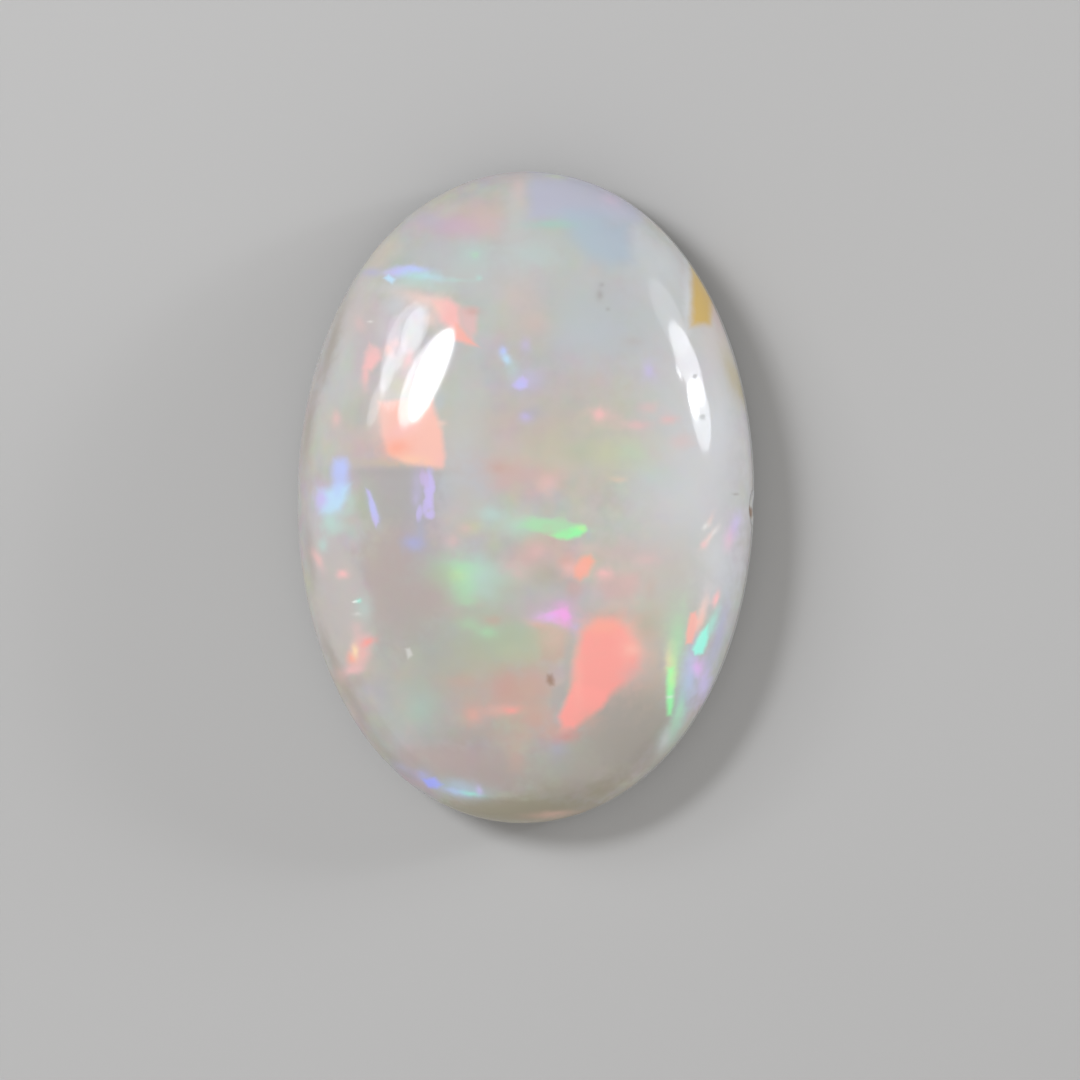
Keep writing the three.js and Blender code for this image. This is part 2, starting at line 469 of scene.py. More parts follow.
BLUE_SPOTS = [
    Glow(-0.355, 2.25, 0.045, 0.055, BLUE, 0.85),
    Glow(-0.3, 2.12, 0.045, 0.07, ICE, 0.85, 30),
    Glow(-0.2, 1.95, 0.08, 0.09, PALE_TEAL, 0.5),
    Glow(0.03, 1.8, 0.16, 0.14, LAVENDER, 0.4),
    Shard(((-0.21, 1.72), (-0.1, 1.65), (0.01, 1.7), (0.03, 1.8), (-0.06, 1.87)), 0.04, LAVENDER, 0.9),
    Glow(-0.08, 1.74, 0.06, 0.05, BLUE, 0.5),
    Glow(0, 1.24, 0.07, 0.055, LAVENDER, 0.75),
    Glow(0.1, 1.3, 0.14, 0.08, GREY_LAVENDER, 0.5),
    Glow(0, 2.33, 0.06, 0.07, LAVENDER, 0.4),
    Glow(1.88, 1.95, 0.07, 0.09, LAVENDER, 0.55),
]

PINK_SPOTS = [
    Glow(1.2, 1.25, 0.17, 0.09, PINK, 0.5, -10),
    Glow(1.12, 1.28, 0.07, 0.06, ROSE, 0.75),
    Glow(1.7, 1.11, 0.15, 0.05, PINK, 0.75),
    Glow(2.2, 1.2, 0.1, 0.05, PINK, 0.8),
    Glow(1.87, 1.39, 0.12, 0.06, PINK, 0.5),
    Glow(2.38, 0.86, 0.14, 0.08, PINK, 0.4),
    Glow(1.42, 0.27, 0.09, 0.03, APRICOT, 0.3),
    Glow(0.8, 0.68, 0.18, 0.12, SAGE, 0.4),
    Glow(1.28, 0.66, 0.16, 0.14, YELLOW_GREEN, 0.45),
    Glow(1.62, 0.7, 0.14, 0.12, MINT, 0.2),
]

SOFT_RED = [
    Glow(-0.05, 0.38, 0.5, 0.18, DUSTY_PINK, 0.7, -8),
    Glow(0.34, 0.22, 0.12, 0.1, ROSE, 0.4),
    Glow(-0.42, 0.45, 0.12, 0.07, CLAY, 0.5),
    Glow(-0.35, 0.22, 0.14, 0.1, DUSTY_PINK, 0.5),
]

GREEN_STREAK = [
    Glow(-0.14, -0.42, 0.26, 0.12, PALE_TEAL, 0.65),
    Glow(0.15, -0.42, 0.3, 0.1, MINT, 0.35),
    Flash(0.42, -0.45, 0.4, 0.1, 0.6, MINT, 0.9, -5),
    Shard(((0.38, -0.58), (0.5, -0.51), (0.78, -0.45), (0.91, -0.44), (0.94, -0.52), (0.84, -0.6),
           (0.62, -0.645), (0.46, -0.63)), 0.045, GREEN, 0.97),
    Glow(0.87, -0.485, 0.06, 0.035, LIME, 0.6, -10),
    Glow(0.4, -0.48, 0.14, 0.03, MINT, 0.6, -10),
    Glow(0.97, -0.55, 0.03, 0.07, SKY, 0.4),
]

SMALL_LIGHTS = [
    Glow(-0.54, -0.25, 0.14, 0.09, PALE_TEAL, 0.75),
    Glow(-0.8, -0.46, 0.09, 0.08, YELLOW_GREEN, 0.6),
    Glow(-0.92, -0.47, 0.07, 0.05, PINK, 0.4),
    Glow(-1.13, -0.68, 0.09, 0.07, PINK, 0.55),
    Glow(0.02, -0.92, 0.36, 0.15, DUSTY_PINK, 0.8, 40),
    Glow(0.17, -0.83, 0.1, 0.07, ROSE, 0.25, 20),
    Glow(-0.14, -1.17, 0.18, 0.12, PINK, 0.7),
    Glow(0.3, -1.2, 0.2, 0.14, OLIVE, 0.7),
    Glow(-0.72, -0.92, 0.13, 0.17, PALE_BLUE, 0.4),
    Glow(-0.95, 0, 0.12, 0.18, TAN, 0.3),
]

GREEN_CLOUD = [
    Glow(-0.8, -1.28, 0.55, 0.26, PALE_TEAL, 0.4, -10),
    Glow(-1, -1.2, 0.24, 0.16, MINT, 0.85),
    Glow(-1.04, -1.2, 0.13, 0.08, LIME, 0.6),
    Glow(-0.92, -1.08, 0.18, 0.07, MINT, 0.6, -15),
    Glow(-0.95, -1.42, 0.18, 0.11, MINT, 0.65, 20),
    Glow(-1.3, -1.2, 0.16, 0.14, SAGE, 0.6),
    Glow(-0.58, -1.22, 0.24, 0.14, PALE_TEAL, 0.7, -15),
    Glow(-0.6, -1.45, 0.13, 0.08, PALE_TEAL, 0.5),
    Glow(-0.88, -1.6, 0.11, 0.05, MINT, 0.4),
    Glow(-0.28, -1.38, 0.26, 0.18, SAGE, 0.4),
    Glow(-1.35, -1.52, 0.2, 0.2, ROSE_GREY, 0.5),
    Glow(-1.55, -1.6, 0.2, 0.3, ROSE_GREY, 0.4),
]

ORANGE_HEART = [
    Glow(1.35, -0.9, 0.45, 0.2, DUSTY_PINK, 0.4),
    Glow(0.64, -1.02, 0.14, 0.1, TAN_PINK, 0.8, -35),
    Glow(0.62, -0.99, 0.1, 0.08, CLAY, 0.5),
    Glow(0.68, -1.1, 0.1, 0.08, ROSE, 0.45, -35),
    Shard(((0.75, -1.08), (0.87, -0.92), (0.99, -0.88), (1.06, -0.98), (0.95, -1.18), (0.83, -1.27),
           (0.74, -1.22)), 0.07, ORANGE, 0.95),
    Glow(0.86, -1.1, 0.07, 0.1, SALMON, 0.5, -20),
    Glow(0.72, -1.42, 0.11, 0.12, CLAY, 0.6),
    Glow(0.9, -0.78, 0.12, 0.06, PINK, 0.3),
    Shard(((1.1, -1.14), (1.75, -1.16), (1.72, -1.45), (1.55, -1.6), (1.2, -1.6), (1.08, -1.4)),
          0.14, DUSTY_PINK, 0.75),
    Glow(1.2, -1.17, 0.09, 0.055, ROSE, 0.75),
    Glow(1.62, -1.28, 0.12, 0.12, PINK, 0.3),
    Glow(1.9, -1.4, 0.07, 0.16, CLAY, 0.3),
    Glow(1.86, -0.95, 0.14, 0.07, PINK, 0.5),
]

MAGENTA_PATCH = [
    Glow(0.5, -1.66, 0.34, 0.13, MAUVE, 0.65, 4),
    Glow(0.1, -1.75, 0.16, 0.1, MAUVE, 0.4),
    Glow(0.56, -1.66, 0.1, 0.06, MAGENTA, 0.35),
    Shard(((0.14, -1.86), (0.36, -1.76), (0.64, -1.68), (0.7, -1.82), (0.71, -2.01), (0.62, -1.99),
           (0.4, -1.92)), 0.04, MAGENTA, 0.92),
    Glow(0.38, -1.85, 0.2, 0.07, LILAC, 0.95, 2),
    Glow(0.57, -1.82, 0.1, 0.07, MAGENTA, 0.8),
    Glow(0.61, -1.99, 0.07, 0.04, MAGENTA, 0.6, -12),
    Glow(0.74, -2, 0.06, 0.08, LAVENDER, 0.65),
    Glow(0.21, -1.97, 0.14, 0.045, SALMON, 0.6, -18),
    Shard(((0.18, -1.98), (0.6, -2.08), (0.6, -2.45), (0.44, -2.54), (0.22, -2.5)), 0.08, CLAY, 0.7),
    Glow(0.38, -2.15, 0.18, 0.14, TAN_PINK, 0.95),
    Glow(0.66, -2.45, 0.06, 0.4, GREY, 0.55, -4),
]

BIG_RED = [
    Glow(1.48, -2.36, 0.4, 0.44, TAN_PINK, 0.75),
    Glow(1.3, -1.82, 0.3, 0.09, CLAY, 0.5),
    Shard(((0.85, -2.05), (1.1, -1.88), (1.34, -1.87), (1.52, -1.99), (1.69, -2.26), (1.73, -2.62),
           (1.48, -2.88), (1.18, -3.14), (0.69, -3.06), (0.75, -2.55)), 0.1, RED, 0.97),
    Shard(((0.74, -2.85), (1.28, -2.98), (1.15, -3.26), (0.91, -3.43), (0.76, -3.55), (0.54, -3.55),
           (0.5, -3.36)), 0.07, RED, 0.97),
    Glow(1.2, -1.98, 0.24, 0.09, ORANGE, 0.6),
    Glow(1.6, -2.28, 0.14, 0.24, SALMON, 0.6),
    Glow(1.64, -2.33, 0.08, 0.06, CORAL, 0.5),
    Glow(1.62, -2.68, 0.14, 0.09, DUSTY_PINK, 0.45, 35),
    Glow(0.8, -2.75, 0.06, 0.3, SALMON, 0.4),
    Glow(0.6, -3.6, 0.1, 0.05, RED, 0.5, 10),
    Glow(0.62, -3.68, 0.15, 0.07, RUST, 0.85, 10),
    Glow(1.83, -1.98, 0.12, 0.16, OLIVE, 0.6),
    Glow(0.98, -3.42, 0.12, 0.1, CLAY, 0.5, 30),
    Glow(0.4, -3.58, 0.12, 0.09, CLAY, 0.6),
    Shard(((0.37, -2.92), (0.6, -2.84), (0.6, -3.08), (0.48, -3.28), (0.38, -3.32)), 0.05, GREY, 0.65),
    Glow(0.48, -3.86, 0.12, 0.1, VIOLET, 0.3),
]

LOWER_GREEN = [
    Glow(-0.3, -2.22, 0.5, 0.32, SAGE, 0.8),
    Glow(-0.18, -2.38, 0.2, 0.12, YELLOW_GREEN, 0.2),
    Glow(-0.6, -2.07, 0.11, 0.07, MINT, 0.5),
    Glow(-0.88, -1.95, 0.12, 0.07, MINT, 0.3),
    Glow(-0.52, -1.88, 0.12, 0.06, CLAY, 0.5),
]

LOWER_ORANGE = [
    Glow(-0.28, -2.92, 0.13, 0.18, RUST, 0.5),
    Glow(-0.3, -3.05, 0.2, 0.2, CLAY, 0.5),
    Glow(-0.36, -3.27, 0.26, 0.06, SALMON, 0.35, 3),
    Glow(-0.22, -3.28, 0.075, 0.04, RED, 0.65),
    Glow(-0.82, -3.33, 0.13, 0.15, CLAY, 0.75),
    Glow(-0.8, -3.36, 0.08, 0.08, SALMON, 0.25),
    Glow(-1, -2.84, 0.22, 0.09, CLAY, 0.35),
    Glow(0.12, -2.8, 0.2, 0.16, CLAY, 0.55),
    Glow(0.15, -3.38, 0.18, 0.14, CLAY, 0.8),
    Glow(0.1, -3.08, 0.14, 0.16, CLAY, 0.45),
    Glow(-0.15, -4.02, 0.1, 0.16, CLAY, 0.35),
    Glow(-0.15, -3.7, 0.25, 0.14, CLAY, 0.35),
    Glow(-1.62, -3.28, 0.2, 0.26, TEAL, 0.4),
    Glow(-2.2, -3.62, 0.1, 0.14, DUSK, 0.4, 30),
    Glow(-1.8, -3.98, 0.16, 0.1, DUSK, 0.45, -20),
    Glow(-2.15, -3, 0.16, 0.5, GREY, 0.4, 8),
]

SPECKS = [
    Shard(((0.33, -2.71), (0.42, -2.71), (0.42, -2.8), (0.44, -2.87), (0.37, -2.87), (0.32, -2.82)),
          0.045, BROWN, 0.65),
    Glow(1.14, 3.11, 0.04, 0.065, SPECK, 0.6),
    Glow(1.16, 3.27, 0.03, 0.025, SPECK, 0.45),
    Glow(1.26, 2.89, 0.025, 0.025, SPECK, 0.45),
    Glow(1.64, 2.4, 0.1, 0.05, ROSE_GREY, 0.3),
    Glow(3.22, 0.05, 0.035, 0.014, SPECK, 0.7),
    Glow(-2.4, 2.69, 0.03, 0.014, WHITE, 0.5, -5),
]

RIGHT_FISSURES_AND_LIT_RIM = [
    Glow(2.82, -0.36, 0.03, 0.09, BLUSH, 0.5, -26),
    Glow(2.755, -0.45, 0.028, 0.04, WHITE, 0.65, -20),
    Glow(2.8, -0.64, 0.12, 0.032, BLUSH, 0.9, 52),
    Glow(2.9, -0.53, 0.06, 0.02, WHITE, 0.55, 58),
    Glow(2.73, -0.73, 0.035, 0.045, ROSE, 0.6, -20),
    Glow(3.22, -0.42, 0.06, 0.15, LAVENDER, 0.5, -12),
    Glow(3.11, -0.64, 0.06, 0.13, MAGENTA, 0.3, -12),
    Glow(3.1, -0.7, 0.05, 0.11, ROSE, 0.3, -12),
    Glow(3.05, -1.2, 0.1, 0.3, PALE_BLUE, 0.5, -6),
    # Painted light: the lighter right rim
    Glow(2.95, -0.95, 0.18, 0.3, PAINTED_LIGHT, 0.6),
    Glow(2.85, -1.45, 0.16, 0.14, PAINTED_LIGHT, 0.4),
]

LOWER_RIGHT_RIM = [
    Glow(2.32, -2.1, 0.13, 0.36, MINT, 0.45, -6),
    Glow(2.33, -2.3, 0.08, 0.25, MINT, 0.4, -4),
    Glow(2.2, -2.5, 0.045, 0.14, YELLOW, 0.45),
    Glow(2.26, -2.6, 0.055, 0.18, LIME, 0.5),
    Shard(((2.18, -2.62), (2.27, -2.62), (2.28, -2.9), (2.27, -3.15), (2.23, -3.34), (2.17, -3.34),
           (2.155, -3)), 0.045, GREEN, 0.85),
    Glow(2.24, -2.8, 0.045, 0.1, LIME, 0.6),
    Glow(2.21, -3.07, 0.045, 0.018, WHITE, 0.5),
    Glow(2.37, -3.2, 0.065, 0.28, TEAL, 0.75, -12),
    Glow(2.37, -3.27, 0.05, 0.12, MINT, 0.45, -12),
    Glow(2.26, -3.52, 0.05, 0.14, MINT, 0.3, -18),
    Glow(2.16, -3.7, 0.1, 0.16, TEAL, 0.3, -20),
    Glow(2.13, -3.72, 0.05, 0.14, PALE, 0.5, -20),
    Glow(2.52, -2.72, 0.09, 0.3, BLUE, 0.5, -5),
    Glow(2.74, -2.86, 0.08, 0.2, LAVENDER, 0.6, -8),
    Glow(2.64, -2.62, 0.07, 0.09, LILAC, 0.6),
    Glow(2.96, -2.12, 0.06, 0.4, VIOLET, 0.5, -14),
    Glow(2.84, -2.48, 0.06, 0.14, GREY_LAVENDER, 0.5, -30),
    Glow(2.84, -1.96, 0.05, 0.2, CYAN, 0.45, -22),
    Shard(((2.79, -1.97), (2.68, -2.06), (2.55, -2.34), (2.6, -2.42), (2.72, -2.4), (2.8, -2.15)),
          0.04, CYAN, 0.92),
    Shard(((2.53, -1.78), (2.62, -1.76), (2.66, -1.9), (2.55, -2.24), (2.46, -2.25), (2.46, -2.1)),
          0.035, SALMON, 0.85),
    Glow(2.72, -1.72, 0.045, 0.15, BLUSH, 0.75, -14),
    Glow(2.68, -1.9, 0.04, 0.12, CORAL, 0.6, -14),
    Glow(2.92, -1.57, 0.035, 0.09, ROSE, 0.9, -22),
]

RIGHT_OCHRE = [
    # Painted highlight: a thin pale line beside the right highlight
    Glow(2.48, 3.05, 0.045, 0.45, PAINTED_LIGHT, 0.5),
    Glow(2.88, 2.35, 0.14, 0.35, PEARL, 0.6, 14),
    Glow(2.92, 2.8, 0.07, 0.26, ROSE_GREY, 0.6, 16),
    Shard(((2.54, 3.54), (2.72, 3.36), (2.86, 3.04), (2.83, 2.66), (2.54, 2.64)), 0.08, OCHRE, 0.95),
    Glow(3.16, 1.9, 0.07, 0.3, STRAW, 0.75, 15),
    Glow(3.3, 1.66, 0.04, 0.2, STRAW, 0.5, 15),
]

BOTTOM_BLUE = [
    Glow(-1.9, -4.15, 0.1, 0.05, VIOLET, 0.35, -30),
    Glow(-1.58, -4.27, 0.09, 0.06, VIOLET, 0.8, -25),
    Shard(((-1.58, -4.33), (-1.4, -4.31), (-1.27, -4.41), (-1.36, -4.47), (-1.5, -4.45)),
          0.04, DEEP_BLUE, 1),
    Glow(-0.98, -4.47, 0.26, 0.085, SKY, 0.85, -10),
    Glow(-1.1, -4.52, 0.14, 0.035, BLUE, 0.5, -13),
    Glow(-0.86, -4.555, 0.12, 0.028, CYAN, 0.5, -8),
    Glow(-0.72, -4.5, 0.04, 0.06, LAVENDER, 0.6),
    Glow(0.4, -4.87, 0.26, 0.04, CLAY, 0.5, 4),
    Glow(0.45, -4.56, 0.55, 0.14, CREAM, 0.6, 6),
    Glow(1.18, -4.52, 0.28, 0.1, CREAM, 0.7, 25),
]

# All of them, in the order in which they are laid over each other
MARKINGS = [
    *BROAD_ZONES,
    *TOP_EDGE,
    *UPPER_LEFT_STREAK,
    *UPPER_LEFT_SALMON,
    *SALMON_BLOCK,
    *LEFT_BLUE,
    *LAVENDER_STREAK,
    *LOWER_LEFT_RIM,
    *BLUE_SPOTS,
    *PINK_SPOTS,
    *SOFT_RED,
    *GREEN_STREAK,
    *SMALL_LIGHTS,
    *GREEN_CLOUD,
    *ORANGE_HEART,
    *MAGENTA_PATCH,
    *BIG_RED,
    *LOWER_GREEN,
    *LOWER_ORANGE,
    *SPECKS,
    *RIGHT_FISSURES_AND_LIT_RIM,
    *LOWER_RIGHT_RIM,
    *RIGHT_OCHRE,
    *BOTTOM_BLUE,
]

# Small pits in the polish: ovals given by middle, half sizes and turn in degrees, whose dullness fades
# between two squared shares of the half size
Pit = namedtuple("Pit", "x y half_length half_width turn")
PITS = [Pit(2.59, 1.87, 0.04, 0.035, 0), Pit(2.71, 1.24, 0.055, 0.05, 30)]
PIT_CORE = 0.4
PIT_EDGE = 1.6

# Numbers of the sockets that go by number: the colour mix's and the split colour's
MIX_SHARE = 0
MIX_BELOW = 6
MIX_ABOVE = 7
MIX_RESULT = 2
SPLIT_SATURATION = 1


def srgb_to_linear(channel):
    """One channel of a colour, from its sRGB share to its linear one."""
    if channel <= 0.04045:
        return channel / 12.92
    return ((channel + 0.055) / 1.055) ** 2.4


def outline_share(angle):
    """How far the outline stands out at an angle from +X, as a share of the plain oval's radius."""
    return 1 + DIAGONAL_LEAN * np.sin(2 * angle) - SHOULDER_FULLNESS * np.cos(4 * angle)


def unit_outline():
    """The outline's points in order round it, about 2 across."""
    angle = np.linspace(0, 2 * math.pi, SEGMENTS, endpoint=False)
    share = outline_share(angle)
    return np.stack([share * np.cos(angle), share * np.sin(angle)], axis=1)


OUTLINE_SCALE = np.array([HALF_WIDTH, HALF_LENGTH]) / unit_outline().max(axis=0)


def dome_height(x, y):
    """Height of the dome over a place in the stone's own frame."""
    across, along = x / OUTLINE_SCALE[0], y / OUTLINE_SCALE[1]
    reach = math.hypot(across, along) / outline_share(math.atan2(along, across))
    return WALL_TOP + DOME_RISE * math.sqrt(max(1 - reach**2, 0))


def dome_point(face_x, face_y):
    """The point of the dome that the camera sees at a place on the face."""
    flat = Vector((0, 0, RIM_HEIGHT)) + VIEW_RIGHT * face_x + VIEW_UP * face_y
    ray = (CAMERA_PLACE - flat).normalized()
    point = flat
    for _ in range(SIGHT_ROUNDS):
        point = flat + ray * ((dome_height(point.x, point.y) - flat.z) / ray.z)
    return point


def dome_normal(point):
    """The outward direction of the dome at a point on it."""
    step = 0.001
    ahead, behind = dome_height(point.x + step, point.y), dome_height(point.x - step, point.y)
    above, below = dome_height(point.x, point.y + step), dome_height(point.x, point.y - step)
    return Vector((behind - ahead, below - above, 2 * step)).normalized()


def material_place(face_x, face_y):
    """A place on the face as the materials reckon it, which is without perspective."""
    point = dome_point(face_x, face_y) - Vector((0, 0, RIM_HEIGHT))
    return Vector((point.dot(VIEW_RIGHT), point.dot(VIEW_UP)))


def mirrored_direction(point):
    """The direction that the camera sees mirrored at a point on the dome."""
    to_camera = (CAMERA_PLACE - point).normalized()
    normal = dome_normal(point)
    return 2 * normal.dot(to_camera) * normal - to_camera


def mirrored_spot(face_x, face_y):
    """Where a lamp has to be for the dome to mirror it at a place on the face."""
    point = dome_point(face_x, face_y)
    return point + mirrored_direction(point) * LAMP_DISTANCE


@cache
def lamp_panel(lamp):
    """The oval panel whose reflection in the dome is the lamp's highlight."""
    start, end = Vector(lamp.start), Vector(lamp.end)
    middle = (start + end) / 2
    side = (end - start).orthogonal().normalized() * (lamp.width / 2)
    along = mirrored_spot(*end) - mirrored_spot(*start)
    across = mirrored_spot(*(middle + side)) - mirrored_spot(*(middle - side))
    return Panel(mirrored_spot(*middle), along, across)


def panel_area(panel):
    """Area of an oval panel."""
    return math.pi / 4 * panel.along.length * panel.across.length


def panel_away(panel):
    """The direction of a panel's back."""
    away = panel.across.cross(panel.along).normalized()
    return away if away.dot(panel.spot) > 0 else -away


def light_level(point):
    """How bright a white surface comes out at a point on the dome, in each channel."""
    normal = dome_normal(point)
    fill = FILL_STRENGTH - FILL_LEAN * normal.y * MATTE_LEAN_SHARE
    even = (fill * (1 + normal.z) + FLOOR_LIGHT * (1 - normal.z)) / 2
    lamps = 0
    for lamp in LAMPS:
        panel = lamp_panel(lamp)
        towards = (panel.spot - point).normalized()
        facing = max(0, normal.dot(towards)) * towards.dot(panel_away(panel))
        lamps += lamp.radiance * facing * panel_area(panel) / (math.pi * LAMP_DISTANCE**2)
    return [even + lamps * tint for tint in LAMP_COLOUR]


def mirror_share(point):
    """How much of what is round the stone the camera sees mirrored at a point on the dome."""
    head_on = ((OPAL_IOR - 1) / (OPAL_IOR + 1)) ** 2
    slant = 1 - dome_normal(point).dot(VIEW_BACK)
    return head_on + (1 - head_on) * slant**SLANT_POWER


def surface_colour(shown, face_x=0, face_y=0):
    """The surface colour that shows as this sRGB colour at a place on the face. It is the colour less
    what the dome mirrors there, divided by how much light the lamps and fill give that place: painted
    light that evens out the scene's shading, lighter where less light falls.
    """
    point = dome_point(face_x, face_y)
    mirrored = mirror_share(point)
    gloss = mirrored * (FILL_STRENGTH - FILL_LEAN * mirrored_direction(point).y)
    colour = []
    for channel, level in zip(shown, light_level(point)):
        share = (srgb_to_linear(channel / 255) - gloss) / (level * (1 - mirrored))
        colour.append(min(1.0, max(0.0, share)))
    return (*colour, 1.0)


def rounded_corner(before, corner, after):
    """Points on a small curve in place of a corner of the section."""
    before, corner, after = (np.array(p) for p in (before, corner, after))
    start = corner + (before - corner) / np.linalg.norm(before - corner) * CORNER_ROUND
    end = corner + (after - corner) / np.linalg.norm(after - corner) * CORNER_ROUND
    shares = np.linspace(0, 1, CORNER_RINGS)
    return [(1 - t) ** 2 * start + 2 * t * (1 - t) * corner + t**2 * end for t in shares]


def section_profile():
    """Half of the section as (radius across X, height), from the middle of the back nearly to the top."""
    back_edge = (HALF_WIDTH - BEVEL_WIDTH, 0)
    girdle = (HALF_WIDTH, BEVEL_HEIGHT)
    wall_top = (HALF_WIDTH, WALL_TOP)
    profile = [(r, 0) for r in np.linspace(0, back_edge[0] - 2 * CORNER_ROUND, BACK_RINGS)[1:]]
    profile += rounded_corner((0, 0), back_edge, girdle)
    profile += rounded_corner(back_edge, girdle, wall_top)
    wall_start = profile[-1][1]
    profile += [(HALF_WIDTH, z) for z in np.linspace(wall_start, WALL_TOP, WALL_RINGS)[1:]]
    for angle in np.linspace(0, math.pi / 2, DOME_RINGS + 1)[1:-1]:
        profile.append((HALF_WIDTH * math.cos(angle), WALL_TOP + DOME_RISE * math.sin(angle)))
    return profile


def polish_wave(x, y):
    """How far the polished surface stands off the true dome."""
    height = np.zeros_like(x)
    for wavelength, direction, amount in POLISH_WAVES:
        along = x * math.cos(math.radians(direction)) + y * math.sin(math.radians(direction))
        height += amount * np.sin(2 * math.pi * along / wavelength)
    return height


def cabochon_points():
    """The mesh's points: the middle of the back, the rings of the section, and the top."""
    outline = unit_outline() * OUTLINE_SCALE
    rings = []
    for radius, z in section_profile():
        xy = outline * (radius / HALF_WIDTH)
        rings.append(np.column_stack([xy, np.full(SEGMENTS, z)]))
    points = np.vstack([[[0, 0, 0]], *rings, [[0, 0, HEIGHT]]])
    x, y, z = points.T
    along = (y - CHIP_Y) / CHIP_HALF_LENGTH
    up = (z - CHIP_Z) / CHIP_HALF_HEIGHT
    chip = CHIP_DEPTH * np.clip(1 - along**2 - up**2, 0, None) * (x > 0)
    dome_share = np.clip((z - WALL_TOP) / DOME_RISE, 0, 1)
    return np.column_stack([x - chip, y, z + polish_wave(x, y) * dome_share * (1 - dome_share)])


def cabochon_faces(ring_count):
    """Faces between the rings, with a fan at the middle of the back and one at the top."""
    faces = []
    top = 1 + ring_count * SEGMENTS
    last = top - SEGMENTS
    for a in range(SEGMENTS):
        b = (a + 1) % SEGMENTS
        faces.append((0, 1 + b, 1 + a))
        for start in range(1, last, SEGMENTS):
            faces.append((start + a, start + b, start + SEGMENTS + b, start + SEGMENTS + a))
        faces.append((last + a, last + b, top))
    return faces


def add_object(name, data):
    """A new object in the scene."""
    thing = bpy.data.objects.new(name, data)
    bpy.context.scene.collection.objects.link(thing)
    return thing


def put(thing, spot, axes):
    """Puts an object at a spot, with its own axes along these."""
    thing.matrix_world = Matrix.Translation(spot * MM) @ Matrix(axes).transposed().to_4x4()


def make_cabochon():
    """The stone as one smooth mesh."""
    points = cabochon_points()
    ring_count = (len(points) - 2) // SEGMENTS
    mesh = bpy.data.meshes.new("opal_cabochon")
    mesh.from_pydata((points * MM).tolist(), [], cabochon_faces(ring_count))
    mesh.shade_smooth()
    return add_object("opal_cabochon", mesh)


class Nodes:
    """Adds nodes to one node tree. An input's value is a number, a colour or another node's output."""

    def __init__(self, tree):
        self.tree = tree

    def add(self, kind, inputs, **settings):
        node = self.tree.nodes.new(kind)
        for name, value in settings.items():
            setattr(node, name, value)
        for socket, value in inputs.items():
            if isinstance(value, bpy.types.NodeSocket):
                self.tree.links.new(value, node.inputs[socket])
            else:
                node.inputs[socket].default_value = value
        return node

    def math(self, operation, *values):
        return self.add("ShaderNodeMath", dict(enumerate(values)), operation=operation).outputs[0]

    def vector(self, operation, *values):
        node = self.add("ShaderNodeVectorMath", dict(enumerate(values)), operation=operation)
        return node.outputs["Value" if operation in ("LENGTH", "DOT_PRODUCT") else "Vector"]

    def map_range(self, value, low, high, to_low, to_high):
        sockets = {"Value": value, "From Min": low, "From Max": high, "To Min": to_low, "To Max": to_high}
        node = self.add("ShaderNodeMapRange", sockets, interpolation_type="SMOOTHSTEP", clamp=False)
        return node.outputs["Result"]

    def mix(self, share, below, above, blend="MIX"):
        sockets = {MIX_SHARE: share, MIX_BELOW: below, MIX_ABOVE: above}
        node = self.add("ShaderNodeMix", sockets, data_type="RGBA", blend_type=blend)
        return node.outputs[MIX_RESULT]

    def noise(self, place, scale, detail=1.0, output="Fac"):
        sockets = {"Vector": place, "Scale": scale, "Detail": detail}
        return self.add("ShaderNodeTexNoise", sockets).outputs[output]


def oval_reach(nodes, place, oval):
    """The square of how far a place is from an oval's middle, as a share of its half size."""
    turn = math.radians(oval.turn)
    along = Vector((math.cos(turn), math.sin(turn))) / oval.half_length
    across = Vector((-math.sin(turn), math.cos(turn))) / oval.half_width
    middle = material_place(oval.x, oval.y)
    local_x = nodes.vector("DOT_PRODUCT", place, (*along, -along.dot(middle)))
    local_y = nodes.vector("DOT_PRODUCT", place, (*across, -across.dot(middle)))
    return nodes.math("MULTIPLY_ADD", local_y, local_y, nodes.math("MULTIPLY", local_x, local_x))


def lay_flash(nodes, below, place, grain, flash):
    """The colour with a flash laid over it."""
    reach = nodes.math("MULTIPLY", oval_reach(nodes, place, flash), grain)
    share = nodes.map_range(reach, (1 - flash.edge) ** 2, (1 + flash.edge) ** 2, flash.strength, 0.0)
    return nodes.mix(share, below, surface_colour(flash.colour, flash.x, flash.y))


def lay_glow(nodes, below, place, grain, glow):
    """The colour with a glow laid over it."""
    full = math.log(glow.strength, GLOW_FADE)
    reach = nodes.math("MULTIPLY_ADD", oval_reach(nodes, place, glow), grain, full)
    share = nodes.math("POWER", GLOW_FADE, reach)
    return nodes.mix(share, below, surface_colour(glow.colour, glow.x, glow.y))


def lay_shard(nodes, below, place, shard):
    """The colour with a flat-sided shard laid over it."""
    corners = [material_place(*corner) for corner in shard.corners]
    middle = sum(corners, Vector((0, 0))) / len(corners)
    reach = None
    for corner, following in zip(corners, corners[1:] + corners[:1]):
        side = following - corner
        outward = Vector((side.y, -side.x)).normalized()
        if outward.dot(middle - corner) > 0:
            outward = -outward
        beyond = nodes.vector("DOT_PRODUCT", place, (*outward, -outward.dot(corner)))
        reach = beyond if reach is None else nodes.math("MAXIMUM", reach, beyond)
    share = nodes.map_range(reach, -shard.edge, shard.edge, shard.strength, 0.0)
    return nodes.mix(share, below, surface_colour(shard.colour, *middle))


def face_zones():
    """The zones of the face, row by row from the lowest, each from left to right."""
    columns = [-math.inf, *ZONE_X, math.inf]
    rows = [-math.inf, *ZONE_Y, math.inf]
    return [Zone(*sides, *ends) for ends in zip(rows, rows[1:]) for sides in zip(columns, columns[1:])]


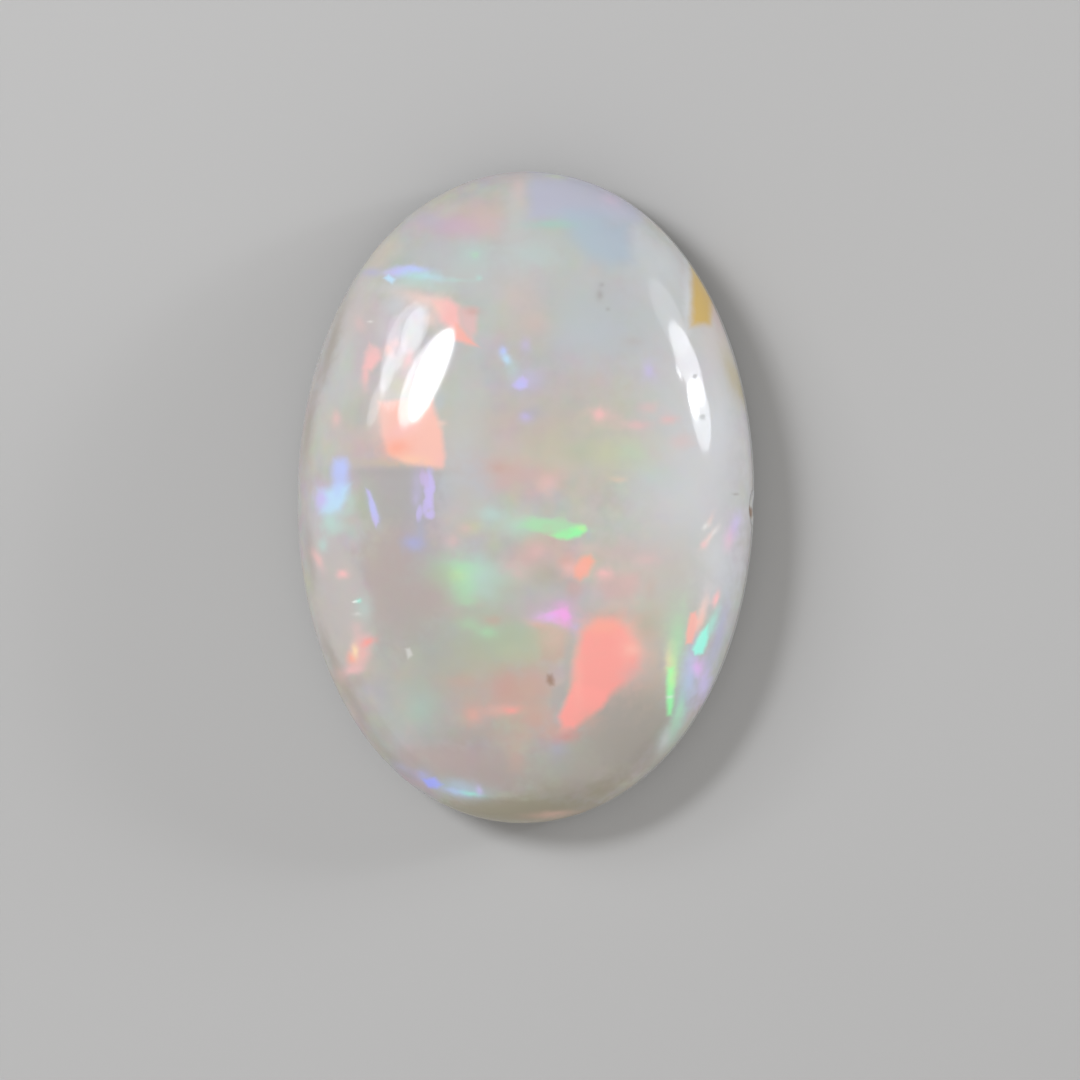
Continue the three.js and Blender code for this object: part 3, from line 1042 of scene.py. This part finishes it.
@cache
def marking_group(marking):
    """A node group that lays a marking over the colour below it."""
    tree = bpy.data.node_groups.new("marking", "ShaderNodeTree")
    for name, kind in (("Below", "Color"), ("Place", "Vector"), ("Grain", "Float")):
        tree.interface.new_socket(name, in_out="INPUT", socket_type=f"NodeSocket{kind}")
    tree.interface.new_socket("Colour", in_out="OUTPUT", socket_type="NodeSocketColor")
    nodes = Nodes(tree)
    given = nodes.add("NodeGroupInput", {}).outputs
    if isinstance(marking, Flash):
        colour = lay_flash(nodes, given["Below"], given["Place"], given["Grain"], marking)
    elif isinstance(marking, Glow):
        colour = lay_glow(nodes, given["Below"], given["Place"], given["Grain"], marking)
    else:
        colour = lay_shard(nodes, given["Below"], given["Place"], marking)
    nodes.add("NodeGroupOutput", {"Colour": colour})
    return tree


def reaches(marking, zone):
    """Whether any of a marking can show in a zone."""
    if isinstance(marking, Shard):
        x, y = zip(*marking.corners)
    else:
        reach = 1 + marking.edge if isinstance(marking, Flash) else GLOW_REACH
        half = max(marking.half_length, marking.half_width) * reach / math.sqrt(LEAST_GRAIN)
        x, y = (marking.x - half, marking.x + half), (marking.y - half, marking.y + half)
    return (
        min(x) < zone.right + ZONE_MARGIN
        and max(x) > zone.left - ZONE_MARGIN
        and min(y) < zone.top + ZONE_MARGIN
        and max(y) > zone.bottom - ZONE_MARGIN
    )


def face_coordinates(nodes, own):
    """The place on the face, in millimetres. The noise of the markings, the body and the back's clouds
    and veins takes its place from here.
    """
    lean = {
        "Vector": own,
        "Location": (RIM_HEIGHT * math.sin(VIEW_LEAN), 0, 0),
        "Rotation": (0, -VIEW_LEAN, 0),
        "Scale": (1 / MM, 1 / MM, 1 / MM),
    }
    return nodes.add("ShaderNodeMapping", lean).outputs["Vector"]


def wavering(nodes, face):
    """The place on the face as (x, y, 1), with a slight waver that roughens the markings' edges."""
    place = face
    for scale, waver in EDGE_WAVERS:
        noise = nodes.noise(face, scale, output="Color")
        shift = nodes.vector("SUBTRACT", noise, (NOISE_MIDDLE, NOISE_MIDDLE, NOISE_MIDDLE))
        place = nodes.vector("MULTIPLY_ADD", shift, (waver, waver, 0), place)
    return nodes.vector("MULTIPLY_ADD", place, (1, 1, 0), (0, 0, 1))


def mottled(nodes, colour, face, layers):
    """A colour with faint pastel clouds in layers of noise."""
    for scale, strength in layers:
        clouds = nodes.noise(face, scale, output="Color")
        colour = nodes.mix(strength, colour, clouds, blend="LINEAR_LIGHT")
    return colour


def lay_markings(nodes, colour, place, grain, zone):
    """The colour with the markings that reach a zone laid over it, one after another."""
    for marking in MARKINGS:
        if reaches(marking, zone):
            sockets = {"Below": colour, "Place": place, "Grain": grain}
            laid = nodes.add("ShaderNodeGroup", sockets, node_tree=marking_group(marking))
            colour = laid.outputs["Colour"]
    return colour


def polish(nodes, place, roughness, zone):
    """The roughness of the polished surface, with its pits."""
    for pit in PITS:
        if reaches(pit, zone):
            dull = nodes.map_range(oval_reach(nodes, place, pit), PIT_CORE, PIT_EDGE, PIT_ROUGHNESS, 0.0)
            roughness = nodes.math("MAXIMUM", roughness, dull)
    return roughness


def stain_chip(nodes, below, own, grain):
    """The colour with the chip's rusty skin laid over it."""
    scale = (0, 1 / (STAIN_HALF_LENGTH * MM), 1 / (STAIN_HALF_HEIGHT * MM))
    shift = (0, -STAIN_Y / STAIN_HALF_LENGTH, -STAIN_Z / STAIN_HALF_HEIGHT)
    reach = nodes.vector("LENGTH", nodes.vector("MULTIPLY_ADD", own, scale, shift))
    rough_reach = nodes.math("MULTIPLY", reach, grain)
    share = nodes.map_range(rough_reach, STAIN_CORE, STAIN_EDGE, STAIN_STRENGTH, 0.0)
    return nodes.mix(share, below, surface_colour(BROWN))


def back_colour(nodes, face):
    """The ground back: clouded grey-white common opal with faint rusty veins."""
    clouds = nodes.noise(face, CLOUD_SCALE, CLOUD_DETAIL)
    share = nodes.map_range(clouds, CLOUD_LOW, CLOUD_HIGH, 0.0, CLOUD_STRENGTH)
    colour = nodes.mix(share, surface_colour(PALE), surface_colour(WARM_GREY))
    noise = nodes.noise(face, VEIN_SCALE, VEIN_DETAIL)
    ridge = nodes.math("ABSOLUTE", nodes.math("SUBTRACT", noise, NOISE_MIDDLE))
    veins = nodes.map_range(ridge, 0.0, VEIN_WIDTH, VEIN_STRENGTH, 0.0)
    return nodes.mix(veins, colour, surface_colour(OCHRE))


def start_material(name):
    """A new material's nodes, with the stone's own coordinates and the height in them."""
    material = bpy.data.materials.new(name)
    material.use_nodes = True
    material.node_tree.nodes.clear()
    nodes = Nodes(material.node_tree)
    own = nodes.add("ShaderNodeTexCoord", {}).outputs["Object"]
    height = nodes.add("ShaderNodeSeparateXYZ", {0: own}).outputs["Z"]
    return material, nodes, own, height


def finish_material(nodes, shader):
    """Ends a material in one shader with opal's refraction."""
    surface = nodes.add("ShaderNodeBsdfPrincipled", {"IOR": OPAL_IOR, **shader}).outputs[0]
    nodes.add("ShaderNodeOutputMaterial", {"Surface": surface})


def polished_opal(name, zone):
    """Polished opal for a zone of the face, duller and paler towards the foot of the wall below it."""
    material, nodes, own, height = start_material(name)
    wall = (BEVEL_HEIGHT * MM, WALL_TOP * MM)
    face = face_coordinates(nodes, own)
    place = wavering(nodes, face)
    noise = nodes.noise(face, GRAIN_SCALE)
    grain = nodes.map_range(noise, LOW_NOISE, HIGH_NOISE, LEAST_GRAIN, MOST_GRAIN)
    milk = mottled(nodes, surface_colour(MILK), face, BODY_CLOUDS)
    colour = lay_markings(nodes, milk, place, grain, zone)
    foot = nodes.map_range(height, *wall, 1.0, 0.0)
    colour = nodes.mix(foot, colour, surface_colour(PALE))
    if zone.right > HALF_WIDTH and zone.bottom < STAIN_Y < zone.top:
        colour = stain_chip(nodes, colour, own, grain)
    roughness = nodes.map_range(height, *wall, WALL_ROUGHNESS, DOME_ROUGHNESS)
    saturation = nodes.add("ShaderNodeSeparateColor", {0: colour}, mode="HSV").outputs[SPLIT_SATURATION]
    scatter = nodes.map_range(saturation, MILK_SATURATION, FLASH_SATURATION, MILK_SCATTER, FLASH_SCATTER)
    finish_material(nodes, {
        "Base Color": colour,
        "Roughness": polish(nodes, place, roughness, zone),
        "Subsurface Weight": scatter,
        "Subsurface Radius": SCATTER_RADII,
        "Subsurface Scale": SCATTER_SCALE * MM,
    })
    return material


def ground_opal():
    """Finely ground opal for the back and its bevel."""
    material, nodes, own, height = start_material("ground_opal")
    edge = nodes.map_range(height, 0.0, BEVEL_HEIGHT * MM, 0.0, 1.0)
    colour = nodes.mix(edge, back_colour(nodes, face_coordinates(nodes, own)), surface_colour(PALE))
    drawn_out = nodes.vector("MULTIPLY", own, (1 / MM, SCRATCH_CLOSENESS / MM, 1 / MM))
    scratches = nodes.noise(drawn_out, SCRATCH_SCALE, SCRATCH_DETAIL)
    bump = {"Strength": SCRATCH_STRENGTH, "Distance": SCRATCH_DEPTH * MM, "Height": scratches}
    finish_material(nodes, {
        "Base Color": colour,
        "Roughness": WALL_ROUGHNESS,
        "Normal": nodes.add("ShaderNodeBump", bump).outputs["Normal"],
    })
    return material


def paint(stone):
    """Gives the stone a material for each zone of its face and one for its back."""
    mesh = stone.data
    zones = face_zones()
    for number, zone in enumerate(zones):
        mesh.materials.append(polished_opal(f"polished_opal_{number}", zone))
    mesh.materials.append(ground_opal())
    centres = np.empty(3 * len(mesh.polygons))
    mesh.polygons.foreach_get("center", centres)
    x, y, z = centres.reshape(-1, 3).T / MM
    face_x = x * math.cos(VIEW_LEAN) - (z - RIM_HEIGHT) * math.sin(VIEW_LEAN)
    column = np.searchsorted(ZONE_X, face_x)
    row = np.searchsorted(ZONE_Y, y)
    slots = np.where(z < BEVEL_HEIGHT, len(zones), row * (len(ZONE_X) + 1) + column)
    mesh.polygons.foreach_set("material_index", slots.astype(np.int32))


def make_floor():
    """A plain pale floor under the stone."""
    half = FLOOR_HALF * MM
    corners = [(-half, -half, 0), (half, -half, 0), (half, half, 0), (-half, half, 0)]
    mesh = bpy.data.meshes.new("floor")
    mesh.from_pydata(corners, [], [(0, 1, 2, 3)])
    material = bpy.data.materials.new("pale_floor")
    material.use_nodes = True
    shader = material.node_tree.nodes["Principled BSDF"]
    shader.inputs["Base Color"].default_value = (*FLOOR_COLOUR, 1)
    shader.inputs["Roughness"].default_value = FLOOR_ROUGHNESS
    mesh.materials.append(material)
    floor = add_object("floor", mesh)


def make_camera():
    """The camera, looking down on the dome as the photograph does."""
    data = bpy.data.cameras.new("camera")
    data.lens = LENS
    data.sensor_width = SENSOR
    data.clip_start, data.clip_end = (share * CAMERA_DISTANCE * MM for share in CLIP_SHARES)
    camera = add_object("camera", data)
    put(camera, CAMERA_PLACE, (VIEW_RIGHT, VIEW_UP, VIEW_BACK))
    bpy.context.scene.camera = camera


def make_lamp(lamp):
    """A soft oval lamp facing the stone."""
    panel = lamp_panel(lamp)
    away = panel_away(panel)
    y_axis = panel.along.normalized()
    x_axis = y_axis.cross(away).normalized()
    data = bpy.data.lights.new(lamp.name, "AREA")
    data.shape = "ELLIPSE"
    data.size = panel.across.length * MM
    data.size_y = panel.along.length * MM
    data.energy = lamp.radiance * math.pi * panel_area(panel) * MM**2
    data.color = LAMP_COLOUR
    light = add_object(lamp.name, data)
    put(light, panel.spot, (x_axis, y_axis, away))
    light.visible_camera = False


def make_fill():
    """A soft fill from all round, stronger from -Y."""
    world = bpy.data.worlds.new("fill")
    world.use_nodes = True
    world.node_tree.nodes.clear()
    nodes = Nodes(world.node_tree)
    direction = nodes.add("ShaderNodeTexCoord", {}).outputs["Generated"]
    lean = nodes.vector("DOT_PRODUCT", direction, (0, -FILL_LEAN, 0))
    strength = nodes.math("ADD", lean, FILL_STRENGTH)
    background = nodes.add("ShaderNodeBackground", {"Color": (1, 1, 1, 1), "Strength": strength})
    nodes.add("ShaderNodeOutputWorld", {"Surface": background.outputs[0]})
    bpy.context.scene.world = world


make_camera()
stone = make_cabochon()
paint(stone)
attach(stone, "root")
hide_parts(NODE)
make_floor()
make_fill()
for lamp in LAMPS:
    make_lamp(lamp)
bpy.context.scene.view_settings.view_transform = "Standard"
